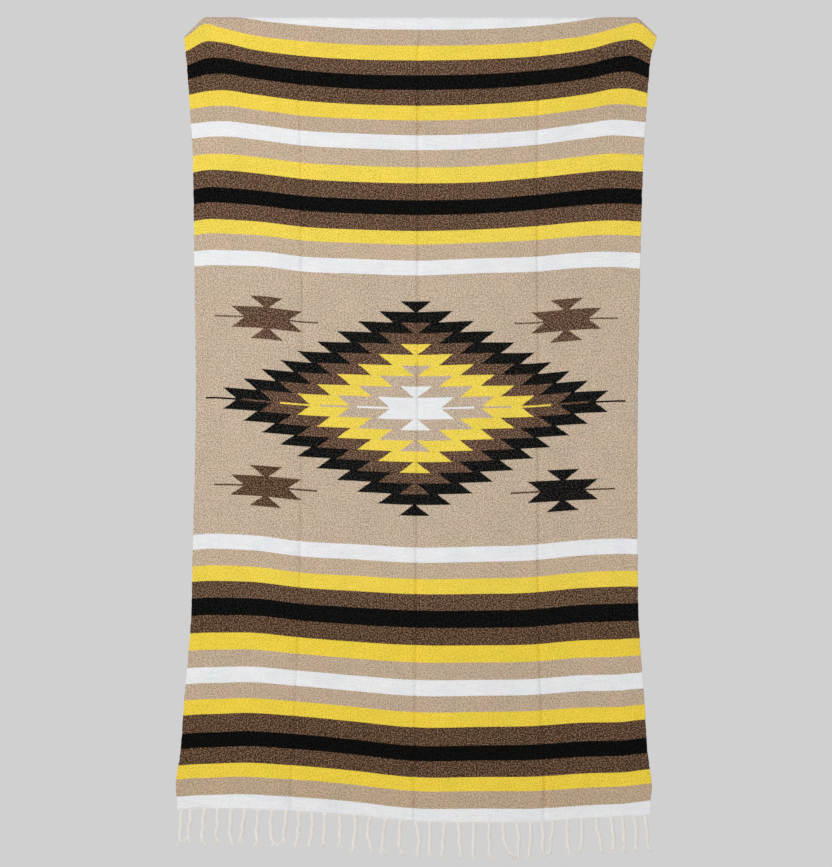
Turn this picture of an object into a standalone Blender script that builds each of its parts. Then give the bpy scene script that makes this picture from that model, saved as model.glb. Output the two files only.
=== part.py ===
"""A flat woven serape hung over a straight wooden rod, for Blender 4.5.

Metres, +Z up. The rod's axis runs along X through the origin, the front of the cloth
faces -Y, and +X is to the right of somebody who looks at the front.

The cloth is one wall, worked out from distances along it: s is the share of the way across,
from the left selvedge to the right one, and w is the distance along the cloth from the ridge
on top of the rod, positive down the front and negative down the back.
"""

import math

import bmesh
import bpy
import numpy as np

# The rod
ROD_LENGTH = 1.14
ROD_RADIUS = 0.0125
ROD_SIDES = 24
ROD_CHAMFER = 0.0015

# The cloth
CLOTH_WALL = 0.0025
CLOTH_LENGTH = 2.17  # woven length, without the fringes
TURNED_OVER = 0.030  # what lies behind the ridge, at the middle of the cloth
SEAM_GAP = 0.0003  # between the rod, the cloth and the strips that carry the fringes
ROD_END_ROOM = 0.002  # the ridge runs on past each rod end by this much before it falls
EAR_SLOPE = 1.0  # fall of the ridge for each metre past that point
EAR_RADIUS = 0.009  # of the free fold at the selvedges, where no rod fills it
EAR_OPENS_OVER = 0.2  # the drop over which the front of that fold comes out to the cloth's plane

# The selvedges: drop below the ridge, left x, right x
SELVEDGES = np.array([
    (0.000, -0.623, 0.620),
    (0.114, -0.619, 0.611),
    (0.326, -0.603, 0.592),
    (0.697, -0.596, 0.580),
    (1.015, -0.594, 0.575),
    (1.439, -0.603, 0.576),
    (1.598, -0.607, 0.578),
    (1.810, -0.625, 0.591),
    (1.969, -0.638, 0.602),
    (2.131, -0.645, 0.610),
])

# How unevenly it hangs: share across, how far the turned-over end hangs below its highest
# stretch there, how far the hem hangs above its middle there
HANG = np.array([
    (0.00, 0.096, 0.033),
    (0.07, 0.052, 0.033),
    (0.14, 0.033, 0.033),
    (0.25, 0.013, 0.029),
    (0.36, 0.004, 0.020),
    (0.50, 0.000, 0.000),
    (0.64, 0.002, -0.003),
    (0.76, 0.014, -0.003),
    (0.87, 0.034, 0.007),
    (0.94, 0.056, 0.012),
    (1.00, 0.092, 0.019),
])

# Pressed creases from storage, the whole length of the cloth: share across
CREASES = (0.245, 0.4975, 0.765)
CREASE_HALF_SHARE = 0.010
CREASE_DEPTH = 0.003
CREASE_STARTS_OVER = 0.03  # the drop over which it deepens, below the rod

# Broad soft folds, deepest at the hem: share across, half width, how far forward at the hem
FOLDS = np.array([
    (0.07, 0.10, -0.006),
    (0.19, 0.10, 0.007),
    (0.38, 0.12, -0.006),
    (0.62, 0.13, 0.007),
    (0.86, 0.11, -0.006),
    (0.97, 0.08, 0.006),
])

# Drag folds that run down and inwards from the rod's ends: side, half width, depth
DRAGS = np.array([(-1, 0.030, 0.004), (1, 0.034, 0.006)])
DRAG_LEAN = 0.5  # inwards for each metre down
DRAG_STARTS_OVER = 0.08  # the drop over which they deepen
DRAG_LENGTH = 0.45

# The wall's grid
ACROSS_CELL = 0.036
ARC_ROWS = ROD_SIDES // 2
FLAP_ROWS = 4
FRONT_ROWS = 30
FRONT_GRADING = 1.25  # rows are closer together near the rod

# The fringes
STRAND_KNOTS = np.array([  # strand number, its distance from the left selvedge at the hem
    (0, 0.012),
    (1, 0.037),
    (11, 0.392),
    (17, 0.637),
    (33, 1.221),
    (34, 1.243),
])
STRIP_HEIGHT = 0.005
STRAND_WIDTH = 0.007
STRAND_LENGTH = 0.100
STRAND_RINGS = np.array([  # share of the way down, width, thickness
    (0.08, 0.0068, 0.0058),
    (0.40, 0.0066, 0.0062),
    (0.75, 0.0064, 0.0060),
    (1.00, 0.0046, 0.0040),
])
STRAND_LEANS = {1: 0.004, 4: -0.006, 8: 0.005, 13: -0.010, 14: 0.016, 16: 0.005, 19: -0.006, 23: 0.014,
                24: -0.005, 27: -0.011, 29: -0.008, 30: 0.015, 33: 0.004}
STRAND_SWAY = 0.003
ROOT_MARGIN = 0.001  # a bend of the cloth's end this near a strand is left out of the strip

R = ROD_RADIUS + SEAM_GAP + CLOTH_WALL / 2  # the middle of the wall, round the rod


def smooth_through(places, values, where):
    """Values given at places, read at where along a cubic curve. Past the ends they stay as they are."""
    slopes = np.gradient(values, places)
    first = np.clip(np.searchsorted(places, where, side="right") - 1, 0, len(places) - 2)
    span = places[first + 1] - places[first]
    t = np.clip((where - places[first]) / span, 0.0, 1.0)
    start = (1 + 2 * t) * (1 - t) ** 2 * values[first] + t * (1 - t) ** 2 * span * slopes[first]
    end = t * t * (3 - 2 * t) * values[first + 1] - t * t * (1 - t) * span * slopes[first + 1]
    return start + end


def smooth_step(t):
    """0 up to t = 0, 1 from t = 1, and a soft step between them."""
    t = np.clip(t, 0.0, 1.0)
    return t * t * (3 - 2 * t)


def ridge_x(s):
    """Where each share across lies along the ridge."""
    return SELVEDGES[0, 1] + s * (SELVEDGES[0, 2] - SELVEDGES[0, 1])


def past_rod(s):
    """How far each share across lies beyond the end of the rod, or 0."""
    return np.maximum(np.abs(ridge_x(s)) - ROD_LENGTH / 2 - ROD_END_ROOM, 0.0)


def fold_radius(s):
    """The radius of the turn over the ridge. It closes a little past the rod."""
    overhang = past_rod(np.array([0.0, 1.0])).min()
    return R + (EAR_RADIUS - R) * smooth_step(past_rod(s) / overhang)


def relief(s, x, drop):
    """How far the front stands forward of a plane: broad folds, drag folds and creases."""
    full = smooth_step(drop / SELVEDGES[-1, 0])
    forward = np.zeros_like(drop)
    width = SELVEDGES[-1, 2] - SELVEDGES[-1, 1]
    for share, half_width, depth in FOLDS:
        forward += depth * full * np.exp(-(((s - share) * width / half_width) ** 2))
    for side, half_width, depth in DRAGS:
        off_line = x - side * (ROD_LENGTH / 2 - DRAG_LEAN * drop)
        fade = smooth_step(drop / DRAG_STARTS_OVER) * smooth_step(1 - drop / DRAG_LENGTH)
        forward -= depth * fade * np.exp(-((off_line / half_width) ** 2))
    for share in CREASES:
        groove = np.maximum(1 - np.abs(s - share) / CREASE_HALF_SHARE, 0.0)
        forward -= CREASE_DEPTH * smooth_step((drop - R) / CREASE_STARTS_OVER) * groove
    return forward


def cloth_points(s, w):
    """The middle of the wall at shares s and distances w from the ridge, as x, y, z.

    Over the rod it is an arc, and below that it hangs straight, with the relief on the front.
    """
    radius = fold_radius(s)
    fall = EAR_SLOPE * past_rod(s)
    turn = np.minimum(np.abs(w) / radius, math.pi / 2)
    straight = np.maximum(np.abs(w) - radius * math.pi / 2, 0.0)
    drop = fall + radius * (1 - np.cos(turn)) + straight
    left = smooth_through(SELVEDGES[:, 0], SELVEDGES[:, 1], drop)
    right = smooth_through(SELVEDGES[:, 0], SELVEDGES[:, 2], drop)
    x = left + s * (right - left)
    out = radius * np.sin(turn) + (R - radius) * smooth_step(straight / EAR_OPENS_OVER)
    front = -out - relief(s, x, drop) * (straight > 0)
    y = np.where(w < 0, out, front)
    return np.stack([x, y, R - drop], axis=-1)


def columns():
    """Shares across of the grid's columns: the rod's ends, the creases and even steps between."""
    width = SELVEDGES[0, 2] - SELVEDGES[0, 1]
    rod_end = ROD_LENGTH / 2 + ROD_END_ROOM
    stations = [0.0, (-rod_end - SELVEDGES[0, 1]) / width, (rod_end - SELVEDGES[0, 1]) / width, 1.0]
    for share in CREASES:
        stations += [share - CREASE_HALF_SHARE, share, share + CREASE_HALF_SHARE]
    stations = sorted(stations)
    shares = [0.0]
    for start, end in zip(stations, stations[1:]):
        cells = math.ceil((end - start) * width / ACROSS_CELL)
        shares += [start + (end - start) * k / cells for k in range(1, cells + 1)]
    return np.array(shares)


def cloth_grid():
    """The middle of the wall: rows from the turned-over end, over the rod, to the hem."""
    s = columns()
    fall = EAR_SLOPE * past_rod(s)
    radius = fold_radius(s)
    quarter = radius * math.pi / 2
    turned = TURNED_OVER - R * math.pi / 2 + smooth_through(HANG[:, 0], HANG[:, 1], s)
    behind = quarter + turned + R - fall - radius
    hem = CLOTH_LENGTH - TURNED_OVER - smooth_through(HANG[:, 0], HANG[:, 2], s) - fall
    rows = [-quarter - (behind - quarter) * (1 - k / FLAP_ROWS) for k in range(FLAP_ROWS)]
    rows += [quarter * (2 * k / ARC_ROWS - 1) for k in range(ARC_ROWS)]
    rows += [quarter + (hem - quarter) * (k / FRONT_ROWS) ** FRONT_GRADING for k in range(FRONT_ROWS + 1)]
    w = np.array(rows)
    return cloth_points(np.broadcast_to(s, w.shape), w)


def material(name, colour, roughness):
    """A plain finish."""
    made = bpy.data.materials.new(name)
    made.use_nodes = True
    shader = made.node_tree.nodes["Principled BSDF"]
    shader.inputs["Base Color"].default_value = (*colour, 1.0)
    shader.inputs["Roughness"].default_value = roughness
    shader.inputs["Metallic"].default_value = 0.0
    return made


def add_object(name, mesh, finish):
    """Links a mesh as an object that wears one finish."""
    made = bpy.data.objects.new(name, mesh)
    mesh.materials.append(finish)
    bpy.context.scene.collection.objects.link(made)
    return made


def make_panel(grid, finish):
    """The whole woven cloth: the grid as a sheet, given its wall by Solidify."""
    rows, cols = grid.shape[:2]
    corner = (np.arange(rows - 1)[:, None] * cols + np.arange(cols - 1)).ravel()
    faces = np.stack([corner, corner + cols, corner + cols + 1, corner + 1], axis=1)
    mesh = bpy.data.meshes.new("serape_panel")
    mesh.from_pydata(grid.reshape(-1, 3).tolist(), [], faces.tolist())
    panel = add_object("serape_panel", mesh, finish)
    wall = panel.modifiers.new("wall", "SOLIDIFY")
    wall.thickness = CLOTH_WALL
    wall.offset = 0.0
    wall.use_even_offset = True
    return panel


def make_rod(finish):
    """A plain round rod with softened ends."""
    bpy.ops.mesh.primitive_cylinder_add(vertices=ROD_SIDES, radius=ROD_RADIUS, depth=ROD_LENGTH,
                                        rotation=(0.0, math.pi / 2, 0.0))
    rod = bpy.context.object
    rod.name = "hanging_rod"
    rod.data.materials.append(finish)
    bpy.ops.object.transform_apply(rotation=True)
    edge = rod.modifiers.new("softened ends", "BEVEL")
    edge.width = ROD_CHAMFER
    edge.limit_method = "ANGLE"
    edge.angle_limit = math.radians(60)
    edge.segments = 1
    rod.data.shade_smooth()
    rod.data.set_sharp_from_angle(angle=math.radians(40))
    return rod


def strand_drift(number, share):
    """How far strand number has moved to the right, a share of the way down: a lean and a slight bow."""
    lean = STRAND_LEANS.get(number, STRAND_SWAY * math.sin(2.3 * number + 0.7))
    bow = STRAND_SWAY * math.sin(1.7 * number)
    return lean * share ** 2 + bow * math.sin(math.pi * share)


def distances(line):
    """How far along a polyline each of its points lies."""
    steps = np.linalg.norm(np.diff(line, axis=0), axis=1)
    return np.concatenate([[0.0], np.cumsum(steps)])


def make_fringe(name, end_line, shares, finish):
    """A narrow strip along one end of the cloth, with the strands drawn out of its underside.

    end_line is that end of the wall's middle, from the left selvedge to the right one.
    shares are where the strands stand, as shares of the end's length.
    """
    reached = distances(end_line)
    roots = shares * reached[-1]
    off_root = np.abs(reached[:, None] - roots).min(axis=1) > STRAND_WIDTH / 2 + ROOT_MARGIN
    marks = np.sort(np.concatenate([reached[off_root], roots - STRAND_WIDTH / 2, roots + STRAND_WIDTH / 2]))
    is_root = np.abs((marks[1:] + marks[:-1])[:, None] / 2 - roots).min(axis=1) < ROOT_MARGIN
    line = np.stack([np.interp(marks, reached, end_line[:, axis]) for axis in range(3)], axis=1)
    along = np.gradient(line, axis=0)
    downward = np.cross(along, np.array([0.0, 1.0, 0.0]))  # across the end, in the cloth's plane
    downward /= np.linalg.norm(downward, axis=1)[:, None]
    downward *= -np.sign(downward[:, 2:3])
    thick = np.array([0.0, CLOTH_WALL / 2, 0.0])

    frame = bmesh.new()
    sections = []
    for point, down in zip(line, downward):
        top, bottom = point + down * SEAM_GAP, point + down * (SEAM_GAP + STRIP_HEIGHT)
        corners = (top - thick, bottom - thick, bottom + thick, top + thick)
        sections.append([frame.verts.new(corner) for corner in corners])
    undersides = []
    for here, after, carries in zip(sections, sections[1:], is_root):
        for k in range(4):
            face = frame.faces.new((here[k], here[(k + 1) % 4], after[(k + 1) % 4], after[k]))
            if k == 1 and carries:
                undersides.append(face)
    frame.faces.new(sections[0][::-1])
    frame.faces.new(sections[-1])

    for number, root in enumerate(undersides):
        centre = root.calc_center_median()
        face = root
        for share, width, thickness in STRAND_RINGS:
            face = bmesh.ops.extrude_discrete_faces(frame, faces=[face])["faces"][0]
            middle = face.calc_center_median()
            x = centre.x + strand_drift(number, share)
            z = centre.z - STRAND_LENGTH * share
            for vert in face.verts:
                right = 1 if vert.co.x > middle.x else -1
                back = 1 if vert.co.y > middle.y else -1
                vert.co = (x + right * width / 2, centre.y + back * thickness / 2, z)
    bmesh.ops.recalc_face_normals(frame, faces=frame.faces)
    mesh = bpy.data.meshes.new(name)
    frame.to_mesh(mesh)
    frame.free()
    return add_object(name, mesh, finish)


def main():
    for old in list(bpy.data.objects):
        bpy.data.objects.remove(old)
    woven = material("woven_wool", (0.47, 0.39, 0.28), 0.95)
    yarn = material("fringe_yarn", (0.78, 0.76, 0.70), 0.9)
    wood = material("rod_wood", (0.52, 0.36, 0.20), 0.55)

    grid = cloth_grid()
    hem_width = SELVEDGES[-1, 2] - SELVEDGES[-1, 1]
    numbers = np.arange(STRAND_KNOTS[-1, 0] + 1)
    shares = np.interp(numbers, STRAND_KNOTS[:, 0], STRAND_KNOTS[:, 1]) / hem_width
    make_panel(grid, woven)
    make_rod(wood)
    make_fringe("fringe_bottom", grid[-1], shares, yarn)
    make_fringe("fringe_top", grid[0], shares, yarn)


main()
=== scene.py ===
# A banded serape with a stepped diamond, hung over a wooden rod. Metres, Z up.
# The rod's axis runs along X through the origin, and the front of the cloth faces -Y.
#
# A point of the cloth has two pairs of coordinates:
#   share, down     where it hangs: share of the way across from the left selvedge, and distance
#                   along the cloth from the ridge on top of the rod, negative behind it
#   across, along   where it lies in the weave, in metres from the left selvedge and from the end
#                   that is turned over the rod; the map "weave" holds these two
import math

import bpy
import numpy as np
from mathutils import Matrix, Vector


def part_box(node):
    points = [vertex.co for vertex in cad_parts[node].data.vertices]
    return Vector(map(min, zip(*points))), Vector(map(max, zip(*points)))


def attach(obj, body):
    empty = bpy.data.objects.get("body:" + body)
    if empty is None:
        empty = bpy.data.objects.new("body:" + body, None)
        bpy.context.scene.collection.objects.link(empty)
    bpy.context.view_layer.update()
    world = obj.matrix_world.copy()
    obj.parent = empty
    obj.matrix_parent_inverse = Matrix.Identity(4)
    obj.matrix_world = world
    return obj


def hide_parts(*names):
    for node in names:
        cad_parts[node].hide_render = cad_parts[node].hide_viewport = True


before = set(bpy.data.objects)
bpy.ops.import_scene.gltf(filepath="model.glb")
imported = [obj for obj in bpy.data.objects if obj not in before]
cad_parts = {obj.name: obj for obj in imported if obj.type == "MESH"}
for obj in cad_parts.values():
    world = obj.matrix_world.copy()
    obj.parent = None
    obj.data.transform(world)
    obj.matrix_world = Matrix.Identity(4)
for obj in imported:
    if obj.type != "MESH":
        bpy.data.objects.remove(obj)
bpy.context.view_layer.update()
rodLow, rodHigh = (np.array(corner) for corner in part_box("hanging_rod"))
print("frame loaded")

rod = {
    "length": rodHigh[0] - rodLow[0],
    "radius": (rodHigh[2] - rodLow[2]) / 2,
    "edge": 0.0015,  # how far its end edges are rounded
}

cloth = {
    "length": 2.168,  # woven length, without the fringes
    "wall": 0.0025,
    "weaveWidth": 1.169,  # loom width; the ends have spread since, and the middle has drawn in
    "turnedOver": 0.030,  # what lies behind the ridge, at the middle of the cloth
    "seamGap": 0.0003,  # between the rod, the cloth and the fringes
    "rodEndRoom": (0.002, 0.006),  # the ridge runs on past the left and right rod end by this before it falls
    "earSlope": 1.0,  # fall of the ridge for each metre past that point
    "earSoftness": 0.002,
    "earRadius": 0.009,  # of the free fold at the selvedges, where no rod fills it
    "earOpensOver": 0.2,  # the drop over which the front of that fold comes out to the cloth's plane
    "edgeRound": 0.0015,  # all four edges are rounded over this width
    "edgeSteps": (0.0, 0.2, 0.55, 1.0, 1.8),  # where the first rows and columns lie, as shares of that
    "beadHeight": 0.0005,  # doubled warps at the selvedges stand proud by this, each side
    "beadWidth": 0.0022,
    "columns": 158,
    "rowsBehind": 16,
    "rowsOverRod": 14,
    "rowsInFront": 224,
}

# The selvedges: drop below the ridge, left x, right x
selvedges = np.array([
    (0.000, -0.627, 0.6285),
    (0.060, -0.6255, 0.6265),
    (0.090, -0.622, 0.616),
    (0.150, -0.6165, 0.6075),
    (0.240, -0.610, 0.601),
    (0.326, -0.604, 0.5945),
    (0.520, -0.5995, 0.587),
    (0.697, -0.5975, 0.5825),
    (1.015, -0.594, 0.577),
    (1.439, -0.603, 0.5765),
    (1.598, -0.607, 0.579),
    (1.810, -0.625, 0.594),
    (1.969, -0.638, 0.605),
    (2.029, -0.6475, 0.6135),
    (2.085, -0.6445, 0.6105),
    (2.131, -0.645, 0.611),
])

# How unevenly the ends hang: share across, how far the turned-over end hangs below its highest
# stretch there, how far the hem hangs above its middle there
ends = np.array([
    (0.00, 0.096, 0.033),
    (0.07, 0.052, 0.033),
    (0.14, 0.033, 0.033),
    (0.25, 0.013, 0.027),
    (0.36, 0.004, 0.016),
    (0.50, 0.000, 0.000),
    (0.64, 0.002, -0.003),
    (0.76, 0.014, -0.003),
    (0.87, 0.034, 0.007),
    (0.94, 0.056, 0.012),
    (1.00, 0.092, 0.019),
])

# The weft doesn't hang level: how many millimetres above its middle it is, for shares across
# (columns) and for drops of its middle below the ridge (rows)
weftShares = np.array([0, 0.02, 0.045, 0.075, 0.14, 0.25, 0.36, 0.5, 0.64, 0.76, 0.87, 0.93, 0.955, 0.98, 1])
weftDrops = np.array([0.075, 0.113, 0.155, 0.30, 0.49, 0.67, 1.04, 1.24, 1.41, 1.60, 1.94, 2.13])
weftLifts = np.array([
    (23, 39, 58, 49, 29, 12, 3, 0, 2, 12, 32, 53, 61, 46, 24),
    (27, 38, 51, 49, 30, 12, 3, 0, 3, 12, 32, 54, 56, 43, 30),
    (29, 37, 45, 46, 31, 13, 3, 0, 3, 13, 31, 50, 52, 43, 32),
    (33, 35, 37, 38, 29, 12, 5, 0, 4, 14, 32, 42, 41, 39, 38),
    (31, 35, 35, 33, 26, 11, 4, 0, 3, 14, 27, 32, 32, 32, 32),
    (27, 28, 28, 27, 25, 10, 5, 0, 6, 10, 21, 23, 22, 22, 22),
    (31, 30, 29, 27, 21, 10, 5, 0, 3, 6, 16, 19, 20, 21, 21),
    (29, 29, 29, 29, 26, 15, 7, 0, 3, 10, 16, 18, 19, 20, 20),
    (37, 37, 37, 36, 32, 16, 9, 0, 3, 7, 19, 23, 24, 25, 25),
    (34, 34, 33, 33, 32, 18, 8, 0, 0, 2, 13, 16, 17, 20, 22),
    (34, 34, 34, 35, 39, 31, 17, 0, 2, 3, 11, 13, 15, 21, 25),
    (33, 33, 33, 34, 37, 30, 18, 0, 0, -2, 6, 11, 14, 20, 25),
]) / 1000

# Pressed creases from storage: share across at the top, the middle and the hem
creases = np.array([
    (0.2395, 0.2425, 0.2425),
    (0.4985, 0.5035, 0.5025),
    (0.7590, 0.7760, 0.7765),
])
crease = {
    "depths": (0.0048, 0.0060, 0.0060),
    "halfWidth": 0.0052,
    "startsOver": 0.07,
    "crowding": (0.016, 4.0),  # the cloth's columns crowd round it: over which share across, how much
}

# Broad soft folds, deepest at the hem: share across, half width, how far forward at the hem
folds = np.array([
    (0.07, 0.10, -0.006),
    (0.19, 0.10, 0.007),
    (0.38, 0.12, -0.006),
    (0.62, 0.13, 0.007),
    (0.86, 0.11, -0.006),
    (0.97, 0.08, 0.006),
])

# Drag folds that run down and inwards from the rod's ends: side, half width, depth
drags = np.array([(-1, 0.030, 0.004), (1, 0.034, 0.006)])
drag = {"lean": 0.5, "startsOver": 0.08, "length": 0.45}

# What a hand loom leaves: shallow puckers all over, and selvedges that wander
handmade = {
    "pucker": 0.0005,
    "puckerWaves": ((0.071, 0.113, 0.187), (0.089, 0.137, 0.211)),  # wavelengths across and down
    "puckerLean": (0.3, -0.2),  # how much each set of waves also counts the other way
    "puckerStartsOver": 0.1,
    "wander": 0.0010,
    "wanderWaves": ((0.023, 0.037, 0.061), (0.021, 0.041, 0.067)),  # of the left and right selvedge
    "wanderStartsOver": 0.05,
    "wanderWidth": 0.02,  # how far into the cloth it is felt
}

ridgeHeight = rod["radius"] + cloth["seamGap"] + cloth["wall"] / 2  # middle of the wall over the rod


def softStep(t):
    # 0 up to t = 0, 1 from t = 1, and 3 t^2 - 2 t^3 between them
    t = np.clip(t, 0.0, 1.0)
    return t * t * (3 - 2 * t)


def smoothThrough(places, values, where, column=None):
    # a cubic Hermite curve through the values at the places, level past both ends; with column,
    # values has a second axis and each point is read in its own column
    slopes = np.gradient(values, places, axis=0)
    first = np.clip(np.searchsorted(places, where, side="right") - 1, 0, len(places) - 2)
    span = places[first + 1] - places[first]
    t = np.clip((where - places[first]) / span, 0.0, 1.0)
    here, after = (first, first + 1) if column is None else ((first, column), (first + 1, column))
    start = (1 + 2 * t) * (1 - t) ** 2 * values[here] + t * (1 - t) ** 2 * span * slopes[here]
    end = t * t * (3 - 2 * t) * values[after] - t * t * (1 - t) * span * slopes[after]
    return start + end


def wander(where, waves, seed):
    # the mean of sines of the given wavelengths, each begun at its own place
    phases = np.random.default_rng(seed).uniform(0, 2 * math.pi, len(waves))
    return sum(np.sin(2 * math.pi * where / wave + phase) for wave, phase in zip(waves, phases)) / len(waves)


def pastRod(share):
    # how far each share across lies beyond the end of the rod, or 0
    ridgeX = selvedges[0, 1] + share * (selvedges[0, 2] - selvedges[0, 1])
    room = np.where(ridgeX < 0, *cloth["rodEndRoom"])
    return np.maximum(np.abs(ridgeX) - rod["length"] / 2 - room, 0.0)


def ridgeFall(share):
    # the ridge is level on the rod and slopes down beyond it: slope * p^2 / (p + softness)
    past = pastRod(share)
    return cloth["earSlope"] * past ** 2 / (past + cloth["earSoftness"])


def foldRadius(share):
    # the turn over the ridge closes a little past the rod, from the rod's radius to the ear's
    overhang = pastRod(np.array([0.0, 1.0])).min()
    return ridgeHeight + (cloth["earRadius"] - ridgeHeight) * softStep(pastRod(share) / overhang)


def relief(share, x, drop):
    # how far the front stands forward of a plane: a bell exp(-off^2) for each fold and drag, less a
    # pointed groove exp(-off^1.5) for each crease, plus the puckers
    bottom, left, right = selvedges[-1]
    width = right - left
    forward = np.zeros_like(drop)
    for place, halfWidth, depth in folds:
        off = (share - place) * width / halfWidth
        forward += depth * softStep(drop / bottom) * np.exp(-(off ** 2))
    for side, halfWidth, depth in drags:
        offLine = x - side * (rod["length"] / 2 - drag["lean"] * drop)
        fade = softStep(drop / drag["startsOver"]) * softStep(1 - drop / drag["length"])
        forward -= depth * fade * np.exp(-((offLine / halfWidth) ** 2))
    for course, depth in zip(creases, crease["depths"]):
        place = smoothThrough(np.array([0.0, bottom / 2, bottom]), course, drop)
        off = np.abs(share - place) * width / crease["halfWidth"]
        forward -= depth * softStep((drop - ridgeHeight) / crease["startsOver"]) * np.exp(-off ** 1.5)
    wavesAcross, wavesDown = handmade["puckerWaves"]
    leanAcross, leanDown = handmade["puckerLean"]
    pucker = wander(x + leanAcross * drop, wavesAcross, 3) * wander(drop + leanDown * x, wavesDown, 4)
    return forward + handmade["pucker"] * pucker * softStep(drop / handmade["puckerStartsOver"])


def clothPoints(share, down):
    # the middle of the wall: an arc over the rod, then straight down, with the relief in front
    radius, fall = foldRadius(share), ridgeFall(share)
    turn = np.minimum(np.abs(down) / radius, math.pi / 2)
    straight = np.maximum(np.abs(down) - radius * math.pi / 2, 0.0)
    drop = fall + radius * (1 - np.cos(turn)) + straight
    left = smoothThrough(selvedges[:, 0], selvedges[:, 1], drop)
    right = smoothThrough(selvedges[:, 0], selvedges[:, 2], drop)
    width = right - left
    x = left + share * width
    loose = handmade["wander"] * softStep(straight / handmade["wanderStartsOver"])
    leftWaves, rightWaves = handmade["wanderWaves"]
    x += loose * wander(drop, leftWaves, 1) * np.exp(-share * width / handmade["wanderWidth"])
    x += loose * wander(drop, rightWaves, 2) * np.exp(-(1 - share) * width / handmade["wanderWidth"])
    out = radius * np.sin(turn) + (ridgeHeight - radius) * softStep(straight / cloth["earOpensOver"])
    front = -out - relief(share, x, drop) * (straight > 0)
    y = np.where(down < 0, radius * np.sin(turn), front)
    return np.stack([x, y, ridgeHeight - drop], axis=-1)


def clothEnds(share):
    # how far down the back and the front of each column reach
    radius, fall = foldRadius(share), ridgeFall(share)
    turned = cloth["turnedOver"] - ridgeHeight * math.pi / 2 + smoothThrough(ends[:, 0], ends[:, 1], share)
    behind = radius * math.pi / 2 + turned + ridgeHeight - fall - radius
    hem = cloth["length"] - cloth["turnedOver"] - smoothThrough(ends[:, 0], ends[:, 2], share) - fall
    return behind, hem


def alongWeave(share, down, behind):
    # the weave's own distance: along = turnedOver + down + rise(share, along), solved by repeating
    # it twelve times; behind the ridge it runs evenly to 0 at the turned-over end
    column = np.arange(share.shape[-1])
    lifts = np.stack([smoothThrough(weftShares, row, share[0]) for row in weftLifts])
    ridgeDrop = cloth["turnedOver"] + ridgeHeight * (math.pi / 2 - 1)
    along = cloth["turnedOver"] + np.maximum(down, 0.0)
    for _ in range(12):
        rise = smoothThrough(weftDrops, lifts, along - ridgeDrop, column) + ridgeFall(share)
        along = cloth["turnedOver"] + np.maximum(down, 0.0) + rise
    return np.where(down < 0, along * (1 + down / behind), along)


def crowdedSteps(count, places, halfWidth, strength):
    # values from 0 to 1, closer together round each place: even steps of the running total of
    # 1 + strength * exp(-(distance / halfWidth)^2)
    fine = np.linspace(0.0, 1.0, 4001)
    crowd = 1 + strength * np.exp(-((fine[:, None] - places) / halfWidth) ** 2).sum(axis=1)
    total = np.concatenate([[0.0], np.cumsum((crowd[1:] + crowd[:-1]) / 2)])
    return np.interp(np.linspace(0, total[-1], count), total, fine)


def hexToLinear(code, alpha=1.0):
    # an sRGB hex colour as linear red, green, blue and alpha
    srgb = np.array([int(code[k:k + 2], 16) for k in (0, 2, 4)]) / 255
    linear = np.where(srgb <= 0.04045, srgb / 12.92, ((srgb + 0.055) / 1.055) ** 2.4)
    return (*linear.tolist(), alpha)


def addNode(tree, kind, inputs=(), **settings):
    # one node with its settings; inputs are its sockets in order, or by name or number in a
    # dictionary: each a value, another node's output, or a node, which stands for its first output
    node = tree.nodes.new("ShaderNode" + kind)
    for name, value in settings.items():
        setattr(node, name, value)
    for socket, value in inputs.items() if isinstance(inputs, dict) else enumerate(inputs):
        value = value.outputs[0] if isinstance(value, bpy.types.Node) else value
        if isinstance(value, bpy.types.NodeSocket):
            tree.links.new(value, node.inputs[socket])
        else:
            node.inputs[socket].default_value = value
    return node


def newFinish(name, look):
    # a material, its node tree and its shader, which takes the values in look
    finish = bpy.data.materials.new(name)
    finish.use_nodes = True
    shader = finish.node_tree.nodes["Principled BSDF"]
    for socket, value in look.items():
        shader.inputs[socket].default_value = value
    return finish, finish.node_tree, shader


def addPiece(name, points, faces, finish, slot=None, weaveMap=None):
    # a mesh object from whole arrays; weaveMap holds each vertex's place on the map "weave"
    mesh = bpy.data.meshes.new(name)
    mesh.from_pydata(points.reshape(-1, 3).tolist(), [], faces)
    mesh.materials.append(finish)
    mesh.shade_smooth()
    if weaveMap is not None:
        corners = np.empty(len(mesh.loops), dtype=np.int32)
        mesh.loops.foreach_get("vertex_index", corners)
        mesh.uv_layers.new(name="weave").uv.foreach_set("vector", weaveMap[corners].astype(np.float32).ravel())
    piece = bpy.data.objects.new(name, mesh)
    bpy.context.scene.collection.objects.link(piece)
    if slot:
        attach(piece, "root")
    return piece


def shellFaces(outer, inner):
    # quads over two grids of vertex numbers that share their border, one facing each way
    def quads(grid):
        return np.stack([grid[:-1, :-1], grid[1:, :-1], grid[1:, 1:], grid[:-1, 1:]], axis=-1).reshape(-1, 4)
    return quads(outer).tolist() + quads(inner)[:, ::-1].tolist()


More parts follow.
